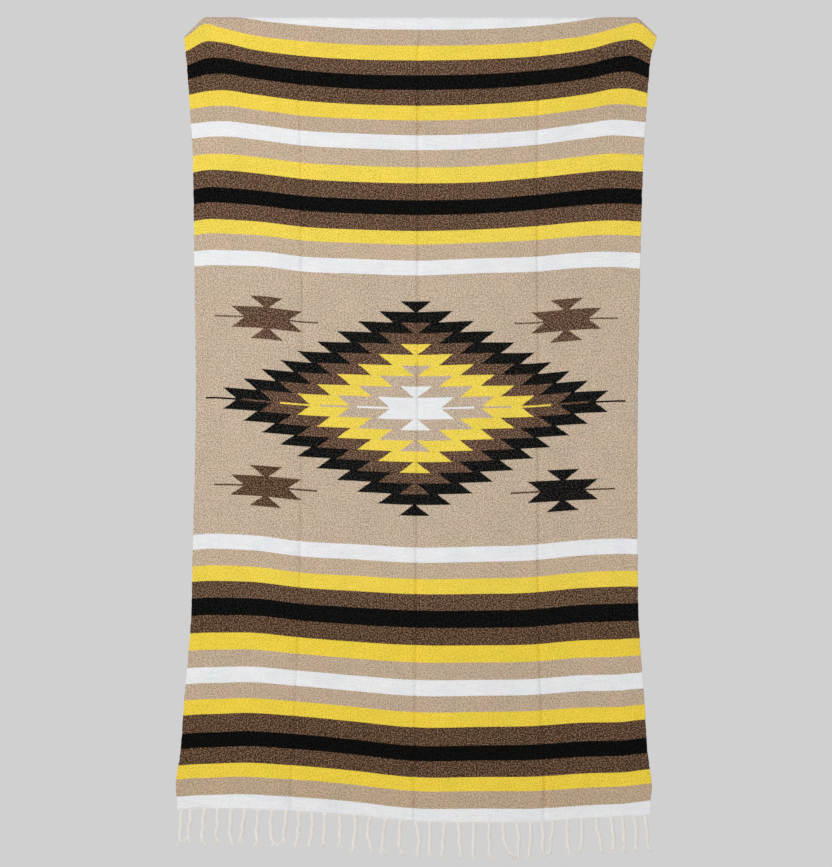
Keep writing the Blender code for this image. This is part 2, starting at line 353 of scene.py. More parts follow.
def makeCloth(finish):
    # the woven sheet: points of the middle of the wall, moved out and in along the normal by half
    # the wall, which is rounded off to nothing at all four edges
    steps = cloth["edgeRound"] * np.array(cloth["edgeSteps"])
    width = selvedges[0, 2] - selvedges[0, 1]
    margin = steps[-1] / width
    inside = margin + crowdedSteps(cloth["columns"], creases[:, 1], *crease["crowding"]) * (1 - 2 * margin)
    share = np.concatenate([steps[:-1] / width, inside, 1 - steps[-2::-1] / width])
    behind, hem = clothEnds(share)
    quarter = foldRadius(share) * math.pi / 2
    # rows: the turned-over edge, on up to the rod, over it, down the front, and the hem's edge
    flap, front = steps[-1] - behind, hem - steps[-1]
    rows = [step - behind for step in steps[:-1]]
    rows += [flap + (-quarter - flap) * t for t in np.linspace(0, 1, cloth["rowsBehind"], endpoint=False)]
    rows += [quarter * t for t in np.linspace(-1, 1, cloth["rowsOverRod"], endpoint=False)]
    rows += [quarter + (front - quarter) * t for t in np.linspace(0, 1, cloth["rowsInFront"])]
    rows += [hem - step for step in steps[-2::-1]]
    down = np.array(rows)
    share = np.broadcast_to(share, down.shape)
    middle = clothPoints(share, down)  # of the wall
    normal = np.cross(np.gradient(middle, axis=0), np.gradient(middle, axis=1))
    normal /= np.linalg.norm(normal, axis=-1, keepdims=True)
    sideEdge = np.minimum(share, 1 - share) * width
    anyEdge = np.minimum(sideEdge, np.minimum(down + behind, hem - down))
    half = cloth["wall"] / 2 * np.sqrt(1 - (1 - np.clip(anyEdge / cloth["edgeRound"], 0, 1)) ** 2)
    bead = cloth["beadHeight"] * np.exp(-((sideEdge - cloth["beadWidth"]) / cloth["beadWidth"]) ** 2)
    half += bead * np.clip(anyEdge / cloth["edgeRound"], 0, 1)
    outer = np.arange(down.size).reshape(down.shape)
    inner = outer.copy()
    inner[1:-1, 1:-1] = down.size + np.arange(outer[1:-1, 1:-1].size).reshape(outer[1:-1, 1:-1].shape)
    lift = normal * half[..., None]
    points = np.concatenate([(middle + lift).reshape(-1, 3), (middle - lift)[1:-1, 1:-1].reshape(-1, 3)])
    spots = np.stack([share * cloth["weaveWidth"], alongWeave(share, down, behind)], axis=-1)
    weaveMap = np.concatenate([spots.reshape(-1, 2), spots[1:-1, 1:-1].reshape(-1, 2)])
    piece = addPiece("wovenSerape", points, shellFaces(outer, inner), finish, "woven_wool", weaveMap)
    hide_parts("serape_panel")
    downSides, acrossSides = middle[1:, :-1] - middle[:-1, :-1], middle[:-1, 1:] - middle[:-1, :-1]
    area = np.linalg.norm(np.cross(downSides, acrossSides), axis=-1).sum()
    print("cloth: %d faces, %.3f square metres" % (len(piece.data.polygons), area))
    return piece


def tubes(paths, radii, sides, capOut=0.6):
    # round tubes all at once: at each point of each path a ring of its radius stands square to the
    # path, side * cos a + front * sin a, and one pole point closes each end
    ahead = np.gradient(paths, axis=1)
    ahead /= np.linalg.norm(ahead, axis=-1, keepdims=True)
    side = np.cross(ahead, np.array([0.0, -1.0, 0.0]))
    side /= np.linalg.norm(side, axis=-1, keepdims=True)
    front = np.cross(side, ahead)
    angle = 2 * math.pi * np.arange(sides) / sides
    spoke = side[:, :, None] * np.cos(angle)[:, None] + front[:, :, None] * np.sin(angle)[:, None]
    rings = paths[:, :, None] + radii[:, :, None, None] * spoke
    poles = np.stack([paths[:, 0] - ahead[:, 0] * radii[:, 0, None] * capOut,
                      paths[:, -1] + ahead[:, -1] * radii[:, -1, None] * capOut], axis=1)
    count, length = paths.shape[:2]
    number = np.arange(count * length * sides).reshape(count, length, sides)
    turned = np.roll(number, -1, axis=2)
    quads = np.stack([number[:, :-1], number[:, 1:], turned[:, 1:], turned[:, :-1]], axis=-1)
    pole = np.broadcast_to((number.size + np.arange(2 * count)).reshape(count, 2, 1), (count, 2, sides))
    top = np.stack([number[:, 0], turned[:, 0], pole[:, 0]], axis=-1)
    bottom = np.stack([turned[:, -1], number[:, -1], pole[:, 1]], axis=-1)
    points = np.concatenate([rings.reshape(-1, 3), poles.reshape(-1, 3)])
    return points, quads.reshape(-1, 4).tolist(), np.concatenate([top, bottom]).reshape(-1, 3).tolist()


def joined(parts):
    # several (points, quads, triangles) as one set of points and one list of faces
    points, faces, start = [], [], 0
    for these, quads, triangles in parts:
        points.append(these)
        faces += [[start + corner for corner in face] for face in quads + triangles]
        start += len(these)
    return np.concatenate(points), faces


fringe = {
    "height": 0.0053,  # from the cloth's end to where the strands hang free
    "strand": 0.098,  # length of the longest strand below that
    "strandShares": (0.93, 1.0),  # from, to: lengths of single strands, as shares of it
    "plyRadius": 0.0029,
    "plyTaper": ((0, 0.1, 0.85, 1), (0.85, 1, 1.05, 0.7)),  # shares down the strand, and of the radius there
    "plyPitch": 0.0150,  # length of one full turn of the two plies
    "plyPoints": 58,
    "frayFrom": (0.62, 0.82),  # from, to: the share of the strand where it comes undone
    "plyRunsOn": 0.10,  # and how much further its plies still hold together
    "wisps": 7,
    "wispPoints": 9,
    "wispRadius": 0.0023,
    "wispTaper": 0.35,  # how much thinner its end is
    "wispReach": (0.88, 1.0),  # from, to: where wisps end, as shares of the strand
    "wispSpread": 0.0080,
    "wispScatter": (0.35, 0.5),  # how far off their even fan they stand, to the side and in depth
    "wispCurl": 0.0010,
    "cordRadius": 0.0006,  # of one ply of the twined cord that locks the end of the cloth
    "cordPitch": 0.0060,
    "cordInset": 0.002,  # from the selvedges to its two ends
    "gathered": (-0.0070, -0.0025, 0.0025, 0.0070),  # where a strand's warps leave the cloth
    "gatherPoints": 6,
    "gatherDrop": 0.0075,
    "gatherRadius": 0.7,  # of a gathered warp, as a share of the wisps' radius
    "kink": 0.0011,
    "kinkShares": (0.4, 1.6),  # from, to: kinks of single strands, as shares of it
    "kinkRates": (11.0, 19.0),  # from, to: radians of kinking down a strand
    "sway": 0.0018,  # neighbours hang this much further forward and back, so that they pass each other
}
# Strand number and its distance from the left selvedge at the hem; the others are spaced between
strandKnots = np.array([
    (0, 0.013), (1, 0.038), (5, 0.180), (8, 0.290), (11, 0.394), (14, 0.512), (17, 0.635), (20, 0.749),
    (22, 0.829), (25, 0.938), (27, 1.001), (31, 1.153), (34, 1.243),
])
# How each strand hangs, in millimetres: how far its tip leans, and how far its middle bows aside
strandBends = np.array([
    (-5, 1), (-16, 3), (-5, -2), (-7, 1), (-3, -1), (-16, 2), (-4, -2), (8, -8), (-14, 2), (-9, 3),
    (-12, 6), (-6, 1), (-4, 2), (-12, 6), (16, -12), (-7, -3), (4, -6), (0, 9), (-3, 2), (-6, 0),
    (4, 1), (-3, 0), (2, -1), (29, -8), (-4, 7), (-4, 1), (0, 2), (-14, 1), (8, -4), (-7, 3),
    (21, -3), (5, 4), (4, 2), (1, 6), (6, 2),
]) / 1000


def makeFringe(name, node, share, down, bends, finish):
    # warp ends twisted into two-ply strands: each ply winds round the strand's bowed line,
    # radius * (cos turn, sin turn), and comes undone into wisps near the tip. down is where the
    # cloth ends at each share across
    rng = np.random.default_rng(len(name))  # differs between the two fringes
    end = clothPoints(share, down)
    reached = np.concatenate([[0.0], np.cumsum(np.linalg.norm(np.diff(end, axis=0), axis=1))])
    numbers = np.arange(len(bends))
    hemWidth = selvedges[-1, 2] - selvedges[-1, 1]
    places = np.interp(numbers, strandKnots[:, 0], strandKnots[:, 1]) / hemWidth * reached[-1]
    lengths = fringe["strand"] * rng.uniform(*fringe["strandShares"], len(numbers))
    frays = rng.uniform(*fringe["frayFrom"], len(numbers))
    kinkSizes = fringe["kink"] * rng.uniform(*fringe["kinkShares"], (len(numbers), 1))
    kinkRates = rng.uniform(*fringe["kinkRates"], (len(numbers), 1))
    kinkStarts = rng.uniform(0.0, 2 * math.pi, (len(numbers), 1))

    def sharesDown(lines, points):
        # for each of that many lines, the same even shares from 0 to 1
        return np.broadcast_to(np.linspace(0, 1, points), (lines, points))

    def pointAt(distance):
        # a point of the cloth's end, at a distance along it from the left selvedge
        return np.stack([np.interp(distance, reached, end[:, axis]) for axis in range(3)], axis=-1)

    def strandLine(t, which):
        # points at shares t of the strands numbered which, from the cord to the tip: x moves by
        # lean * t + 4 * bow * t * (1 - t), with small kinks where the yarn was bent
        start = pointAt(places[which])[:, None] - np.array([0.0, 0.0, fringe["cordRadius"] * 2])
        fallen = t * (fringe["height"] - fringe["cordRadius"] * 2 + lengths[which][:, None])
        free = np.clip((fallen - fringe["height"]) / fringe["strand"], 0.0, 1.0)
        lean, bow = bends[which, 0][:, None], bends[which, 1][:, None]
        kinks = kinkSizes[which] * np.sin(kinkRates[which] * free + kinkStarts[which]) * np.minimum(4 * free, 1)
        x = lean * free + 4 * bow * free * (1 - free) + kinks
        y = 0.5 * kinks + fringe["sway"] * free * (2 * (which[:, None] % 2) - 1)
        return start + np.stack([x, y, -fallen], axis=-1)

    def wound(line, radius, pitch, phase, beside):
        # a ply wound round a line: line + radius * (beside * cos turn + Y * sin turn), where beside
        # is square to the line and to Y
        travel = np.linalg.norm(np.diff(line, axis=1), axis=-1).cumsum(axis=1)
        turn = 2 * math.pi * np.concatenate([np.zeros((len(line), 1)), travel], axis=1) / pitch + phase
        spoke = np.cos(turn)[..., None] * beside + np.sin(turn)[..., None] * np.array([0.0, 1.0, 0.0])
        return line + radius[..., None] * spoke

    # the two plies of each strand
    parts = []
    t = sharesDown(len(numbers), fringe["plyPoints"])
    line = strandLine(t * (frays[:, None] + fringe["plyRunsOn"]), numbers)
    radius = fringe["plyRadius"] * np.interp(t, *fringe["plyTaper"])
    phase = rng.uniform(0, 2 * math.pi, (len(numbers), 1))
    beside = np.array([1.0, 0.0, 0.0])
    for ply in range(2):
        parts.append(tubes(wound(line, radius, fringe["plyPitch"], phase + math.pi * ply, beside), radius, 6))

    # the wisps at its tip fan out from where it comes undone, by spread * t^1.6
    which = np.repeat(numbers, fringe["wisps"])
    t = sharesDown(len(which), fringe["wispPoints"])
    reach = rng.uniform(*fringe["wispReach"], (len(which), 1))
    line = strandLine(frays[which][:, None] * (1 - t) + reach * t, which)
    aside, inDepth = fringe["wispScatter"]
    evenFan = np.tile(np.linspace(-1, 1, fringe["wisps"]), len(numbers))[:, None]
    fan = evenFan + rng.uniform(-aside, aside, (len(which), 1))
    depth = rng.uniform(-inDepth, inDepth, (len(which), 1))
    curl = fringe["wispCurl"] * np.sin(5 * t + rng.uniform(0, 2 * math.pi, (len(which), 1))) * t
    splay = fringe["wispSpread"] * t ** 1.6
    line = line + np.stack([fan * splay + curl, depth * splay, np.zeros_like(t)], axis=-1)
    parts.append(tubes(line, fringe["wispRadius"] * (1.0 - fringe["wispTaper"] * t), 5))

    # the warps that leave the cloth side by side and are gathered into it
    which = np.repeat(numbers, len(fringe["gathered"]))
    t = sharesDown(len(which), fringe["gatherPoints"])
    inset = fringe["cordInset"]
    leaves = places[which] + np.tile(fringe["gathered"], len(numbers))
    upper = pointAt(np.clip(leaves, inset, reached[-1] - inset))[:, None]
    lower = strandLine(np.full((len(which), 1), fringe["gatherDrop"] / fringe["strand"]), which)
    line = upper + (lower - upper) * np.stack([1 - (1 - t) ** 1.6, t, t], axis=-1)
    radius = fringe["gatherRadius"] * fringe["wispRadius"]
    line[..., 2] -= cloth["seamGap"] + radius * (1 - t)
    parts.append(tubes(line, np.full(t.shape, radius), 5))

    # the twined cord that locks the end of the cloth, eight points to a turn
    steps = int(reached[-1] / fringe["cordPitch"] * 8)
    line = pointAt(np.linspace(inset, reached[-1] - inset, steps))[None]
    line = line - np.array([0.0, 0.0, cloth["seamGap"] + 2 * fringe["cordRadius"]])
    ahead = np.gradient(line, axis=1)
    beside = np.cross(ahead, np.array([0.0, -1.0, 0.0]))
    beside /= np.linalg.norm(beside, axis=-1, keepdims=True)
    radius = np.full(line.shape[:2], fringe["cordRadius"])
    for ply in range(2):
        parts.append(tubes(wound(line, radius, fringe["cordPitch"], math.pi * ply, beside), radius, 6))
    points, faces = joined(parts)
    piece = addPiece(name, points, faces, finish, "fringe_yarn")
    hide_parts(node)
    print("%s: %d strands, %d faces" % (name, len(numbers), len(faces)))
    return piece


def makeRod(finish):
    # a round bar turned from its profile: rings along X, drawn in by a quarter circle at each end
    corner = np.linspace(0, math.pi / 2, 5)
    inset, drawnIn = rod["edge"] * (1 - np.cos(corner)), rod["edge"] * (1 - np.sin(corner))
    half = rod["length"] / 2
    between = np.linspace(-half, half, 20)[1:-1]
    x = np.concatenate([-half + inset, between, half - inset[::-1]])
    radius = rod["radius"] - np.concatenate([drawnIn, np.zeros_like(between), drawnIn[::-1]])
    path = np.stack([x, np.zeros_like(x), np.zeros_like(x)], axis=-1)[None]
    points, quads, triangles = tubes(path, radius[None], 48, capOut=0.0)
    piece = addPiece("roundRod", points, quads + triangles, finish, "rod_wood")
    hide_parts("hanging_rod")
    print("rod: %d faces" % len(piece.data.polygons))
    return piece


# Dyed yarns: colour, and how much single stitches differ from each other
yarns = {
    "white": ("ecedef", 0.11),
    "sand": ("c1ab93", 0.57),
    "fieldSand": ("c5b19b", 0.62),
    "paleSand": ("c5af96", 0.56),
    "dullSand": ("bda68b", 0.57),
    "yellow": ("f1d44f", 0.28),
    "paleYellow": ("f1d654", 0.33),
    "deepYellow": ("f0d246", 0.29),
    "brown": ("644c3b", 2.1),
    "darkBrown": ("614a38", 2.15),
    "deepBrown": ("5c4533", 2.3),
    "redBrown": ("644c3c", 2.2),
    "black": ("060605", 8.0),
    "deepBlack": ("040403", 8.0),
    "fadedBlack": ("0d0e0c", 9.0),
    "softBlack": ("12100f", 8.0),
}

# Bands from the turned-over end to the field, and from the field to the hem: yarn, width in millimetres
upperBands = (
    ("white", 72.2), ("sand", 39.4), ("yellow", 39.9), ("brown", 40.1), ("black", 39.7),
    ("darkBrown", 41.9), ("yellow", 39.4), ("sand", 39.7), ("white", 39.4), ("paleSand", 43.3),
    ("paleYellow", 42.7), ("brown", 44.4), ("black", 39.2), ("brown", 42.6), ("paleYellow", 37.8),
    ("paleSand", 42.0), ("white", 38.1),
)
fieldLength = 720.8
lowerBands = (
    ("white", 41.0), ("paleSand", 43.8), ("yellow", 38.0), ("darkBrown", 44.3), ("black", 44.3),
    ("deepBrown", 47.1), ("deepYellow", 45.4), ("sand", 48.0), ("white", 40.7), ("sand", 43.5),
    ("deepYellow", 41.0), ("deepBrown", 46.7), ("deepBlack", 42.0), ("deepBrown", 41.6),
    ("deepYellow", 38.8), ("dullSand", 45.4), ("white", 35.8),
)

weave = {
    "warpPitch": 0.0029,
    "pickPitch": 0.0016,  # from one stitch to the next on the same warp
    "stitchRelief": 0.0006,
    "fleckAcross": 0.0034,  # how far the yarn stays light or dark, along a pick
    "fleckAlong": 0.0031,  # and from pick to pick
    "fleckShare": 2.4,  # how much such flecks count, before the shades are cut off at both ends
    "singleShare": 0.45,  # how much single stitches differ besides
    "power": (0.8, 0.3, 4.0),  # of an even yarn, what unevenness adds, the most; with it light gets rarer
    "hueShare": 0.14,  # how much of the difference between stitches is a difference of hue
    "greyShare": 0.42,  # how much greyer than the yarn the lighter stitches are
    "burr": 0.004,  # share of stitches with a dark hair or burr, in sand and brown yarns
    "burrDepth": (0.5, 0.3),  # how dark: that share of the yarn's unevenness, at most so much
    "streak": 0.20,  # difference from pick to pick
    "streakLength": 0.040,
    "streakStep": 1.7,  # how little the streaks of two picks have to do with each other
    "cloud": 0.10,  # difference over a hand's breadth
    "cloudHue": 0.10,
    "cloudScale": 14.0,  # clouds to a metre
    "paintedGapShade": 0.84,  # painted shade: how dark the colour is painted in the gaps between stitches, for their shadow
    "meanHeight": 1 / 1.715,  # of the stitches' bulge, so that the painted shade in the gaps doesn't darken the whole cloth
}

# The stepped diamond in the middle field, one figure inside another. Each is a stack of bars whose
# ends slant, wider away from the middle line: half width = tip0 + tip1 n - tip2 n^2 - slant * (1 - part)
# in bar n from the figure's point, at part of the way out through the bar
diamond = {
    "across": 0.5818, "along": 1.0763,  # its middle
    "bar": 0.0284,  # height of one bar
    "tip0": 0.0405, "tip1": 0.0575, "tip2": 0.0006, "slant": 0.0365,
    "narrowBars": (7.0, 1.5),  # bars that are woven a little narrower: the middle one, how far to both sides
    "needleHalf": 0.0022,  # half the height of the thin lines
    "needleOut": 0.082,  # how far they run out past the notch in the middle bar's end
}
# Yarn, bars above the middle one, how much narrower the narrower bars are
diamondLayers = (
    ("fadedBlack", 9, 0.0060), ("redBrown", 7, 0.0015), ("paleYellow", 5, 0.0), ("fieldSand", 3, 0.0),
)
# Small figures: two bars back to back, a cap above and below, and a needle to each side
smallFigures = {
    "heart": {"bar": 0.0290, "body": 0.102, "cap": 0.0408, "slant": 0.036, "needle": 0.155},
    "corner": {"bar": 0.0278, "body": 0.0935, "cap": 0.0430, "slant": 0.0362, "needle": 0.137},
}
# Where the corner ones stand
corners = {
    "leftAside": 0.393, "rightAside": 0.3960,  # from the diamond's middle
    "upperAlong": 0.8568, "lowerAlong": 1.3075,  # from the turned-over end
    "lowerRightIn": 0.0050,  # the lower right one stands this much further in
}


def makeWeftFacedWool():
    # handspun wool, weft-faced tapestry weave: matt, every stitch its own shade, colour areas
    # stepped along the warps, heathered where the fleece was naturally brown or sand
    look = {"Roughness": 0.92, "Specular IOR Level": 0.08, "Sheen Weight": 0.04, "Sheen Roughness": 0.5}
    finish, tree, shader = newFinish("weftFacedWool", look)
    place = addNode(tree, "UVMap", uv_map="weave")
    split = addNode(tree, "SeparateXYZ", (place,))

    # which stitch: its warp's number, and its pick's number, half a step further on every other warp
    warps = addNode(tree, "Math", (split.outputs["X"], weave["warpPitch"]), operation="DIVIDE")
    warp = addNode(tree, "Math", (warps,), operation="FLOOR")
    odd = addNode(tree, "Math", (warp, 2.0), operation="FLOORED_MODULO")
    rows = addNode(tree, "Math", (split.outputs["Y"], weave["pickPitch"]), operation="DIVIDE")
    picks = addNode(tree, "Math", (odd, 0.5, rows), operation="MULTIPLY_ADD")
    pick = addNode(tree, "Math", (picks,), operation="FLOOR")
    across = addNode(tree, "Math", (warp, weave["warpPitch"], weave["warpPitch"] / 2), operation="MULTIPLY_ADD")
    pitch, half = weave["pickPitch"], weave["pickPitch"] / 2
    evenAlong = addNode(tree, "Math", (pick, pitch, half), operation="MULTIPLY_ADD")
    along = addNode(tree, "Math", (odd, -half, evenAlong), operation="MULTIPLY_ADD")
    stitch = addNode(tree, "CombineXYZ", (warp, pick))
    chance = addNode(tree, "TexWhiteNoise", {"Vector": stitch}, noise_dimensions="2D")

    def bandRamp(first, start, length, before, bands, after):
        # widths in millimetres run on from start; before and after are the yarns outside them
        away = addNode(tree, "Math", (along, start), operation="SUBTRACT")
        share = addNode(tree, "Math", (away, length), operation="DIVIDE")
        ramp = addNode(tree, "ValToRGB", (share,))
        ramp.color_ramp.interpolation = "CONSTANT"
        names = [before] * bool(before) + [name for name, _ in bands] + [after] * bool(after)
        widths = np.cumsum([0.0] + [width for _, width in bands]) / 1000
        edges = np.concatenate([[0.0] * bool(before), first + widths])
        stops = ramp.color_ramp.elements
        while len(stops) > 1:
            stops.remove(stops[0])
        for k, (name, edge) in enumerate(zip(names, edges)):
            stop = stops[0] if k == 0 else stops.new(edge / length)
            stop.position = edge / length
            stop.color = hexToLinear(*yarns[name])  # its alpha holds the yarn's unevenness
        return ramp

    # the bands: one ramp from the turned-over end into the field, one from the field past the hem
    upperEnd = sum(width for _, width in upperBands) / 1000
    lowerStart = upperEnd + fieldLength / 1000
    field = 0.05  # how much of the field is on each ramp
    pastHem = 0.01
    lowerLength = cloth["length"] - lowerStart + field + pastHem
    upper = bandRamp(0.0, 0.0, upperEnd + field, None, upperBands, "fieldSand")
    lower = bandRamp(field, lowerStart - field, lowerLength, "fieldSand", lowerBands, None)
    changeOver = lowerStart - 0.8 * field  # where the field is on the lower ramp
    inLower = addNode(tree, "Math", (along, changeOver), operation="GREATER_THAN")
    colour = addNode(tree, "Mix", {0: inLower, 6: upper, 7: lower}, data_type="RGBA").outputs[2]
    unevenness = addNode(tree, "Mix", {0: inLower, 2: upper.outputs[1], 3: lower.outputs[1]})

    def lay(mask, name, colour, unevenness):
        # another yarn where the mask is 1
        code, difference = yarns[name]
        laid = addNode(tree, "Mix", {0: mask, 6: colour, 7: hexToLinear(code)}, data_type="RGBA").outputs[2]
        return laid, addNode(tree, "Mix", {0: mask, 2: unevenness, 3: difference})

    def barOf(away, height, slant):
        # the number of the bar that holds each stitch, and how far its slanted end is drawn in there
        bars = addNode(tree, "Math", (away, height), operation="DIVIDE")
        bar = addNode(tree, "Math", (bars,), operation="FLOOR")
        part = addNode(tree, "Math", (bars,), operation="FRACT")
        inside = addNode(tree, "Math", (1.0, part), operation="SUBTRACT")
        return bar, addNode(tree, "Math", (inside, slant), operation="MULTIPLY")

    def barsAndNeedle(aside, away, drawnIn, tip, inStack, needleEnd):
        # masks of a stack of bars, and of that with its needle, a thin line out to both sides
        reach = addNode(tree, "Math", (aside, drawnIn), operation="ADD")
        within = addNode(tree, "Math", (reach, tip), operation="LESS_THAN")
        body = addNode(tree, "Math", (within, inStack), operation="MULTIPLY")
        onLine = addNode(tree, "Math", (away, diamond["needleHalf"]), operation="LESS_THAN")
        inNeedle = addNode(tree, "Math", (aside, needleEnd), operation="LESS_THAN")
        needle = addNode(tree, "Math", (onLine, inNeedle), operation="MULTIPLY")
        return body, addNode(tree, "Math", (body, needle), operation="MAXIMUM")

    # the diamond's layers, from the outside in
    centres = (diamond["across"], diamond["along"], 0.0)
    spot = addNode(tree, "CombineXYZ", (across, along))
    fromCentre = addNode(tree, "VectorMath", (spot, centres), operation="SUBTRACT")
    signed = addNode(tree, "SeparateXYZ", (fromCentre,))
    aside = addNode(tree, "Math", (signed.outputs["X"],), operation="ABSOLUTE")
    away = addNode(tree, "Math", (signed.outputs["Y"],), operation="ABSOLUTE")
    bar, drawnIn = barOf(away, diamond["bar"], diamond["slant"])
    for name, count, narrower in diamondLayers:
        fromPoint = addNode(tree, "Math", (float(count), bar), operation="SUBTRACT")
        slope = addNode(tree, "Math", (fromPoint, -diamond["tip2"], diamond["tip1"]), operation="MULTIPLY_ADD")
        evenTip = addNode(tree, "Math", (slope, fromPoint, diamond["tip0"]), operation="MULTIPLY_ADD")
        isNarrow = addNode(tree, "Math", (fromPoint, *diamond["narrowBars"]), operation="COMPARE")
        tip = addNode(tree, "Math", (isNarrow, -narrower, evenTip), operation="MULTIPLY_ADD")
        inStack = addNode(tree, "Math", (fromPoint, -0.5), operation="GREATER_THAN")
        widest = diamond["tip0"] + diamond["tip1"] * count - diamond["tip2"] * count ** 2
        needleEnd = widest - diamond["slant"] + diamond["needleOut"]
        body, whole = barsAndNeedle(aside, away, drawnIn, tip, inStack, needleEnd)
        colour, unevenness = lay(whole, name, colour, unevenness)

    def smallFigure(figure, aside, away):
        # masks of a small figure, without and with its needle
        bar, drawnIn = barOf(away, figure["bar"], figure["slant"])
        narrower = figure["cap"] - figure["body"]
        tip = addNode(tree, "Math", (bar, narrower, figure["body"]), operation="MULTIPLY_ADD")
        inStack = addNode(tree, "Math", (bar, 1.5), operation="LESS_THAN")
        return barsAndNeedle(aside, away, drawnIn, tip, inStack, figure["needle"])

    # the diamond's white heart
    body, whole = smallFigure(smallFigures["heart"], aside, away)
    colour, unevenness = lay(whole, "white", colour, unevenness)

    # the four corner figures: every stitch is measured from the one in its own quarter of the cloth
    toRight = addNode(tree, "Math", (signed.outputs["X"], 0.0), operation="GREATER_THAN")
    toHem = addNode(tree, "Math", (signed.outputs["Y"], 0.0), operation="GREATER_THAN")
    lowerRight = addNode(tree, "Math", (toRight, toHem), operation="MULTIPLY")
    further, lower = corners["rightAside"] - corners["leftAside"], corners["lowerAlong"] - corners["upperAlong"]
    evenAside = addNode(tree, "Math", (toRight, further, corners["leftAside"]), operation="MULTIPLY_ADD")
    movedIn = (lowerRight, -corners["lowerRightIn"], evenAside)
    cornerAside = addNode(tree, "Math", movedIn, operation="MULTIPLY_ADD")
    cornerAlong = addNode(tree, "Math", (toHem, lower, corners["upperAlong"]), operation="MULTIPLY_ADD")
    pastAside = addNode(tree, "Math", (aside, cornerAside), operation="SUBTRACT")
    pastAlong = addNode(tree, "Math", (along, cornerAlong), operation="SUBTRACT")
    fromAside = addNode(tree, "Math", (pastAside,), operation="ABSOLUTE")
    fromAlong = addNode(tree, "Math", (pastAlong,), operation="ABSOLUTE")
    body, whole = smallFigure(smallFigures["corner"], fromAside, fromAlong)
    colour, unevenness = lay(whole, "redBrown", colour, unevenness)
    lowerOnes = addNode(tree, "Math", (whole, toHem), operation="MULTIPLY")
    colour, unevenness = lay(lowerOnes, "deepBrown", colour, unevenness)
    blackOne = addNode(tree, "Math", (body, lowerRight), operation="MULTIPLY")
    colour, unevenness = lay(blackOne, "softBlack", colour, unevenness)

    # every stitch its own shade: its flecks and its own chance, cut off at 0 and 1, raised to a
    # power, less the mean of that
    leastPower, addedPower, mostPower = weave["power"]
    squared = addNode(tree, "Math", (unevenness, unevenness), operation="MULTIPLY")
    freePower = addNode(tree, "Math", (squared, addedPower, leastPower), operation="MULTIPLY_ADD")
    power = addNode(tree, "Math", (freePower, mostPower), operation="MINIMUM")
    fleckSize = (weave["fleckAcross"], weave["fleckAlong"], 1.0)
    fleckPlace = addNode(tree, "VectorMath", (place, fleckSize), operation="DIVIDE")
    fleckNoise = {"Vector": fleckPlace, "Scale": 1.0, "Detail": 0.0}
    flecks = addNode(tree, "TexNoise", fleckNoise, noise_dimensions="2D")
    level = 0.5 - (weave["fleckShare"] + weave["singleShare"]) / 2
    single = addNode(tree, "Math", (chance, weave["singleShare"], level), operation="MULTIPLY_ADD")
    fleckSum = (flecks, weave["fleckShare"], single)
    fleckTone = addNode(tree, "Math", fleckSum, operation="MULTIPLY_ADD", use_clamp=True)
    raised = addNode(tree, "Math", (fleckTone, power), operation="POWER")
    onePower = addNode(tree, "Math", (power, 1.0), operation="ADD")
    mean = addNode(tree, "Math", (1.0, onePower), operation="DIVIDE")
    lighter = addNode(tree, "Math", (raised, mean), operation="SUBTRACT")

    # handspun weft: one pick is thicker or lighter than the next, changing along its length
    courseAcross = addNode(tree, "Math", (across, weave["streakLength"]), operation="DIVIDE")
    courseAlong = addNode(tree, "Math", (pick, weave["streakStep"]), operation="MULTIPLY")
    course = addNode(tree, "CombineXYZ", (courseAcross, courseAlong))
    streakNoise = {"Vector": course, "Scale": 1.0, "Detail": 1.0}
    streaks = addNode(tree, "TexNoise", streakNoise, noise_dimensions="2D")
    streak = addNode(tree, "Math", (streaks, weave["streak"], -weave["streak"] / 2), operation="MULTIPLY_ADD")

    # clouds: the dye took unevenly over a hand's breadth
    cloudNoise = {"Vector": place, "Scale": weave["cloudScale"], "Detail": 3.0, "Roughness": 0.6}
    clouds = addNode(tree, "TexNoise", cloudNoise, noise_dimensions="2D")
    cloud = addNode(tree, "Math", (clouds, weave["cloud"], -weave["cloud"] / 2), operation="MULTIPLY_ADD")

    def archOver(steps):
        # 0 at both edges of each step and 1 at its middle: sin(pi * part)
        part = addNode(tree, "Math", (steps,), operation="FRACT")
        turn = addNode(tree, "Math", (part, math.pi), operation="MULTIPLY")
        return addNode(tree, "Math", (turn,), operation="SINE")

    # each stitch bulges over its warp, and painted shade darkens the colour in the gaps between them
    warpSwell = addNode(tree, "Math", (archOver(warps),), operation="SQRT")
    pickSwell = addNode(tree, "Math", (archOver(picks), 0.5, 0.5), operation="MULTIPLY_ADD")
    height = addNode(tree, "Math", (warpSwell, pickSwell), operation="MULTIPLY")
    paintedShadeSpan = (1 - weave["paintedGapShade"]) / weave["meanHeight"]
    paintedGapShading = addNode(tree, "Math", (height, paintedShadeSpan, weave["paintedGapShade"]), operation="MULTIPLY_ADD")

    # a few stitches hold a dark hair or burr
    roll = addNode(tree, "SeparateXYZ", (chance.outputs["Color"],))
    burred = addNode(tree, "Math", (roll, weave["burr"]), operation="LESS_THAN")
    burrShare, deepestBurr = weave["burrDepth"]
    burrDepth = addNode(tree, "Math", (unevenness, burrShare), operation="MULTIPLY")
    cappedDepth = addNode(tree, "Math", (burrDepth, deepestBurr), operation="MINIMUM")
    burr = addNode(tree, "Math", (burred, cappedDepth), operation="MULTIPLY")

